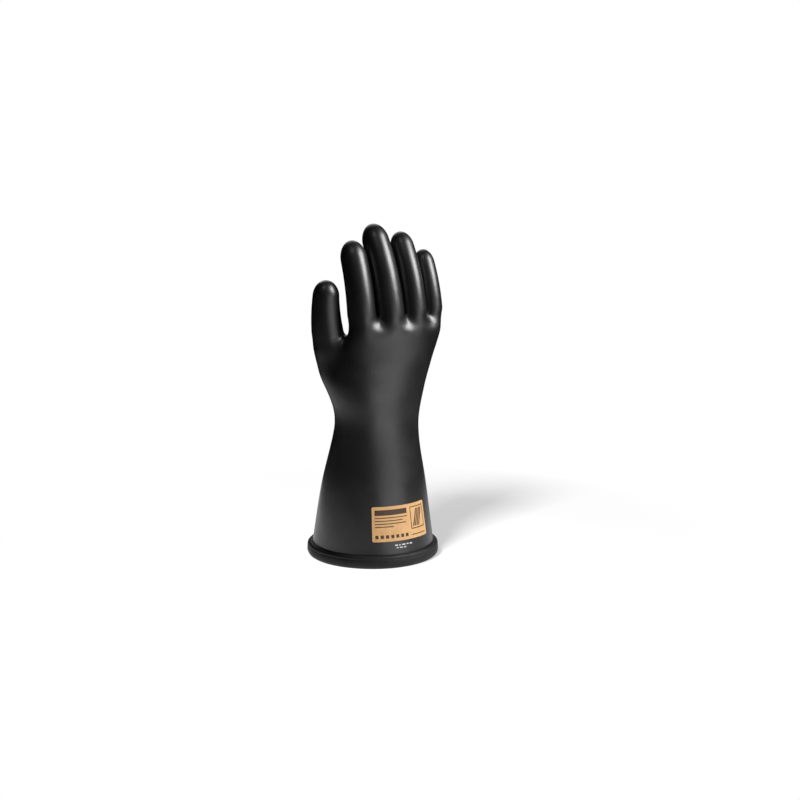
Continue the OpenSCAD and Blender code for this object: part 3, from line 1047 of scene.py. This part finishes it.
def label_material():
    """Tan printed patch with a slightly fibrous, uneven face."""
    material, nodes, links, shader = new_material("label_tan")
    add_tones(nodes, links, shader, noise(nodes, links, *LABEL_FIBRE), LABEL_TONES)
    add_roughness(nodes, links, shader, noise(nodes, links, LABEL_GRAIN), PRINT_ROUGHNESS)
    add_bump(nodes, links, shader, LABEL_BUMPS)
    return material


def ink_material(name, tones, grain):
    material, nodes, links, shader = new_material(name)
    add_tones(nodes, links, shader, noise(nodes, links, grain, INK_DETAIL), tones)
    add_roughness(nodes, links, shader, noise(nodes, links, grain), PRINT_ROUGHNESS)
    return material


# Stage, lamps and camera, in metres

CENTRE = Vector((0.015, -0.005, 0.17))
CAMERA_AZIMUTH = math.radians(-28)
CAMERA_REACH = 1.8
CAMERA_BASE_ELEVATION = math.radians(16)
CAMERA_AIM = Vector((0.025, -0.0133, 0.1613))
CAMERA_LENS = 80.1
CAMERA_SENSOR = 36.0
AMBIENT = 0.25
FLOOR_R = 0.42
FLOOR_STEPS = 96
FLOOR_WHITE = 0.9
# How much the floor glows for the rays that see the background, and between which distances
FLOOR_GLOW = (0.5, 1.0)
FLOOR_FADE = (0.25, 0.4)
TENT_R = 3.2
TENT_STEPS = (32, 16)
# Lamps that light the glove, and the one that casts its shadow on the floor: degrees round from the
# front and up, distance, width and height, and watts
GLOVE_LAMPS = {
    "key": (50, 40, 1.3, (0.7, 0.7), 26),
    "fill": (15, -4, 1.6, (1.3, 0.6), 5),
    "top_left": (-60, 62, 1.4, (0.35, 0.35), 1.0),
    "back": (160, 32, 1.6, (0.9, 0.9), 5),
}
SHADOW_LAMP = (-57, 42, 1.8, (0.45, 0.45), 55)


def direction(azimuth, elevation):
    """Which way a place lies that is this many degrees round from the front and up."""
    a, e = math.radians(azimuth), math.radians(elevation)
    return Vector((math.sin(a) * math.cos(e), -math.cos(a) * math.cos(e), math.sin(e)))


def add_lamp(name, azimuth, elevation, reach, size, power, receivers, glossy=True):
    """A rectangular lamp that points at the glove, with its power in watts."""
    lamp = bpy.data.lights.new(name, "AREA")
    lamp.shape = "RECTANGLE"
    lamp.size, lamp.size_y = size
    lamp.energy = power
    obj = bpy.data.objects.new(name, lamp)
    bpy.context.scene.collection.objects.link(obj)
    obj.location = CENTRE + direction(azimuth, elevation) * reach
    obj.rotation_euler = (CENTRE - obj.location).to_track_quat("-Z", "Y").to_euler()
    obj.visible_glossy = glossy
    obj.light_linking.receiver_collection = receivers


def receivers_of(name, obj, state):
    """What a lamp shines on: the object alone with INCLUDE, all the rest with EXCLUDE."""
    chosen = bpy.data.collections.new(name)
    chosen.objects.link(obj)
    chosen.collection_objects[0].light_linking.link_state = state
    return chosen


def add_camera():
    camera = bpy.data.cameras.new("camera")
    camera.lens = CAMERA_LENS
    camera.sensor_width = CAMERA_SENSOR
    obj = bpy.data.objects.new("camera", camera)
    bpy.context.scene.collection.objects.link(obj)
    obj.location = Vector((
        math.sin(CAMERA_AZIMUTH) * CAMERA_REACH,
        -math.cos(CAMERA_AZIMUTH) * CAMERA_REACH,
        math.tan(CAMERA_BASE_ELEVATION) * CAMERA_REACH,
    ))
    obj.rotation_euler = (CAMERA_AIM - obj.location).to_track_quat("-Z", "Y").to_euler()
    bpy.context.scene.camera = obj


def background_rays(nodes, links):
    """1 for the rays that see the background: those of the camera, of gloss and of clear things."""
    path = nodes.new("ShaderNodeLightPath")
    total = path.outputs["Is Camera Ray"]
    for name in ("Is Glossy Ray", "Is Transmission Ray"):
        add = nodes.new("ShaderNodeMath")
        add.operation = "MAXIMUM"
        links.new(total, add.inputs[0])
        links.new(path.outputs[name], add.inputs[1])
        total = add.outputs[0]
    return total


def add_world():
    """Dim white light from all round, and a white background."""
    world = bpy.data.worlds.new("studio")
    bpy.context.scene.world = world
    world.use_nodes = True
    nodes, links = world.node_tree.nodes, world.node_tree.links
    ambient = nodes["Background"]
    ambient.inputs["Color"].default_value = (1, 1, 1, 1)
    ambient.inputs["Strength"].default_value = AMBIENT
    white = nodes.new("ShaderNodeBackground")
    white.inputs["Color"].default_value = (1, 1, 1, 1)
    white.inputs["Strength"].default_value = 1.0
    mix = nodes.new("ShaderNodeMixShader")
    links.new(background_rays(nodes, links), mix.inputs[0])
    links.new(ambient.outputs[0], mix.inputs[1])
    links.new(white.outputs[0], mix.inputs[2])
    links.new(mix.outputs[0], nodes["World Output"].inputs["Surface"])


def add_floor():
    """A white floor that keeps the glove's shadow and fades into the white background."""
    mesh = bpy.data.meshes.new("floor")
    bm = bmesh.new()
    bmesh.ops.create_circle(bm, cap_ends=True, segments=FLOOR_STEPS, radius=FLOOR_R)
    bm.to_mesh(mesh)
    bm.free()
    floor = add_object("floor", mesh)
    material, nodes, links, shader = new_material("floor_white")
    shader.inputs["Base Color"].default_value = (FLOOR_WHITE, FLOOR_WHITE, FLOOR_WHITE, 1)
    shader.inputs["Roughness"].default_value = 1.0
    shader.inputs["Specular IOR Level"].default_value = 0.0
    place = nodes.new("ShaderNodeTexCoord")
    away = nodes.new("ShaderNodeVectorMath")
    away.operation = "LENGTH"
    links.new(place.outputs["Object"], away.inputs[0])
    fade = mapped(nodes, links, away.outputs["Value"], *FLOOR_GLOW, *FLOOR_FADE)
    glow = nodes.new("ShaderNodeEmission")
    glow.inputs["Color"].default_value = (1, 1, 1, 1)
    share = nodes.new("ShaderNodeMath")
    share.operation = "MULTIPLY"
    links.new(background_rays(nodes, links), share.inputs[0])
    links.new(fade, share.inputs[1])
    mix = nodes.new("ShaderNodeMixShader")
    links.new(share.outputs[0], mix.inputs[0])
    links.new(shader.outputs[0], mix.inputs[1])
    links.new(glow.outputs[0], mix.inputs[2])
    links.new(mix.outputs[0], nodes["Material Output"].inputs["Surface"])
    mesh.materials.append(material)
    return floor


def add_tent():
    """Black cloth far round the set, which only the gloss of the rubber shows."""
    mesh = bpy.data.meshes.new("tent")
    bm = bmesh.new()
    round_steps, up_steps = TENT_STEPS
    bmesh.ops.create_uvsphere(bm, u_segments=round_steps, v_segments=up_steps, radius=TENT_R)
    bm.to_mesh(mesh)
    bm.free()
    tent = add_object("tent", mesh)
    material, _, _, shader = new_material("tent_black")
    shader.inputs["Base Color"].default_value = (0, 0, 0, 1)
    shader.inputs["Specular IOR Level"].default_value = 0.0
    mesh.materials.append(material)
    tent.visible_camera = False
    tent.visible_diffuse = False
    tent.visible_transmission = False
    tent.visible_shadow = False


def add_stage():
    add_world()
    add_tent()
    floor = add_floor()
    on_glove = receivers_of("all_but_floor", floor, "EXCLUDE")
    on_floor = receivers_of("floor_alone", floor, "INCLUDE")
    for name, lamp in GLOVE_LAMPS.items():
        add_lamp(name, *lamp, on_glove)
    add_lamp("shadow_caster", *SHADOW_LAMP, on_floor, glossy=False)
    bpy.context.scene.view_settings.view_transform = "Standard"


add_camera()
add_stage()
skins = make_skin(rubber_material("black_rubber", SKIN_ROUGHNESS, SKIN_GLOSS, SKIN_BUMPS))
join_skin(skins)
make_bead(rubber_material("rolled_rubber", ROLL_ROUGHNESS, ROLL_GLOSS, ROLL_BUMPS))
make_label(label_material())
make_print(ink_material("brown_ink", BROWN_TONES, BROWN_GRAIN))
make_stamp(ink_material("white_ink", WHITE_TONES, WHITE_GRAIN))
